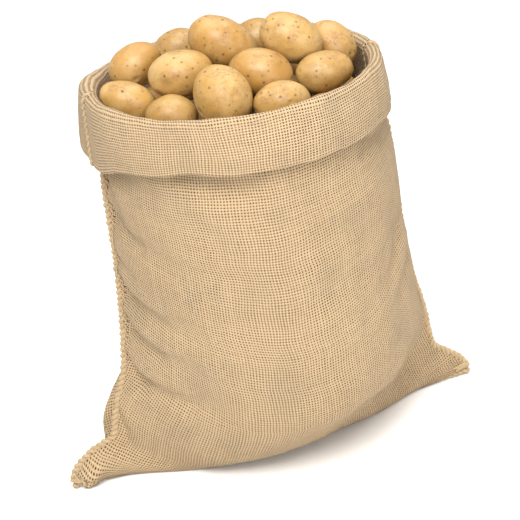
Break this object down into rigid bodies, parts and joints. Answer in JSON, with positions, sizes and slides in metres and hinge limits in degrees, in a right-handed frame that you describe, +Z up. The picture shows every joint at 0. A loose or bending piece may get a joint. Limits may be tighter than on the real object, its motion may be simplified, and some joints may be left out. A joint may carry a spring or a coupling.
{
  "type": "open hessian sack of potatoes",
  "caption": "Standing hessian sack with its mouth rolled down into a cuff, filled to the brim with potatoes.",
  "frame": {"origin": "on the floor under the middle of the sack", "axes": "+Z up; the seam plane of the mouth is X-Z, with the side seams at -X and +X and the front panel towards -Y"},
  "size_m": [0.4061, 0.2706, 0.4038],
  "materials": {
    "hessian": "coarse plain-woven jute, about 10 threads per inch",
    "seam_twine": "thick pale jute twine, overlocked",
    "potato_skin": "smooth waxy potato skin with brown specks, semi-matt"
  },
  "bodies": {
    "root": {"front_panel": "hessian", "back_panel": "hessian", "side_seam_left": "seam_twine", "side_seam_right": "seam_twine", "bottom_seam": "seam_twine", "potato_01": "potato_skin", "potato_02": "potato_skin", "potato_03": "potato_skin", "potato_04": "potato_skin", "potato_05": "potato_skin", "potato_06": "potato_skin", "potato_07": "potato_skin", "potato_08": "potato_skin", "potato_09": "potato_skin", "potato_10": "potato_skin", "potato_11": "potato_skin", "potato_12": "potato_skin", "potato_13": "potato_skin", "deep_potato_01": "potato_skin", "deep_potato_02": "potato_skin", "deep_potato_03": "potato_skin", "deep_potato_04": "potato_skin", "deep_potato_05": "potato_skin", "deep_potato_06": "potato_skin", "deep_potato_07": "potato_skin", "deep_potato_08": "potato_skin", "deep_potato_09": "potato_skin", "deep_potato_10": "potato_skin", "deep_potato_11": "potato_skin", "deep_potato_12": "potato_skin", "deep_potato_13": "potato_skin", "deep_potato_14": "potato_skin", "deep_potato_15": "potato_skin"}
  },
  "joints": []
}
